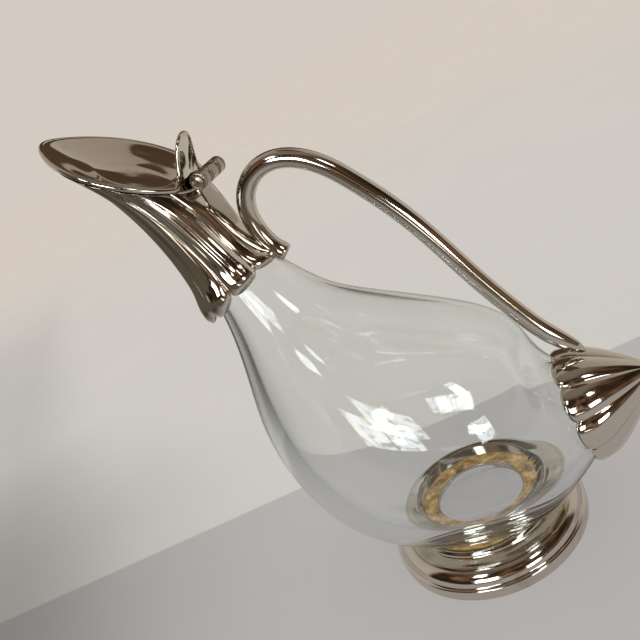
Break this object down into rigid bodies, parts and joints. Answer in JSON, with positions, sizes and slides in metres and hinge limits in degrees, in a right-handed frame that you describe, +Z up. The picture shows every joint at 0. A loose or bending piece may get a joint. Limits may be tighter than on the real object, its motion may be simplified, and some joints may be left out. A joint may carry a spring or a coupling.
{
  "type": "claret jug",
  "caption": "Bird-shaped clear glass serving jug with silver-plated foot, tail cap, swan-neck handle and a spouted collar with a hinged lid.",
  "frame": {"origin": "centre of the foot's bottom face", "axes": "+Z up, the spout points to -X and the tail cap to +X, the jug is symmetric about Y = 0"},
  "size_m": [0.2093, 0.1146, 0.2629],
  "materials": {
    "clear_glass": "polished clear glass",
    "silver_plate": "mirror-polished silver plate over brass, slightly tarnished",
    "cement": "matt, slightly translucent plaster cement"
  },
  "bodies": {
    "jug": {"glass_body": "clear_glass", "foot_ring": "silver_plate", "foot_cement": "cement", "neck_collar": "silver_plate", "neck_cement": "cement", "collar_knuckles": "silver_plate", "hinge_plate": "silver_plate", "hinge_pin": "silver_plate", "handle": "silver_plate", "tail_cap": "silver_plate", "tail_cement": "cement"},
    "lid": {"lid_dish": "silver_plate", "lid_rim_wire": "silver_plate", "lid_knuckle": "silver_plate", "thumbpiece": "silver_plate"}
  },
  "joints": [
    {"name": "lid_hinge", "type": "hinge", "parent": "jug", "child": "lid", "pos_m": [-0.0452, 0, 0.2202], "axis": [0, 1, 0], "range_deg": [0, 70]}
  ]
}
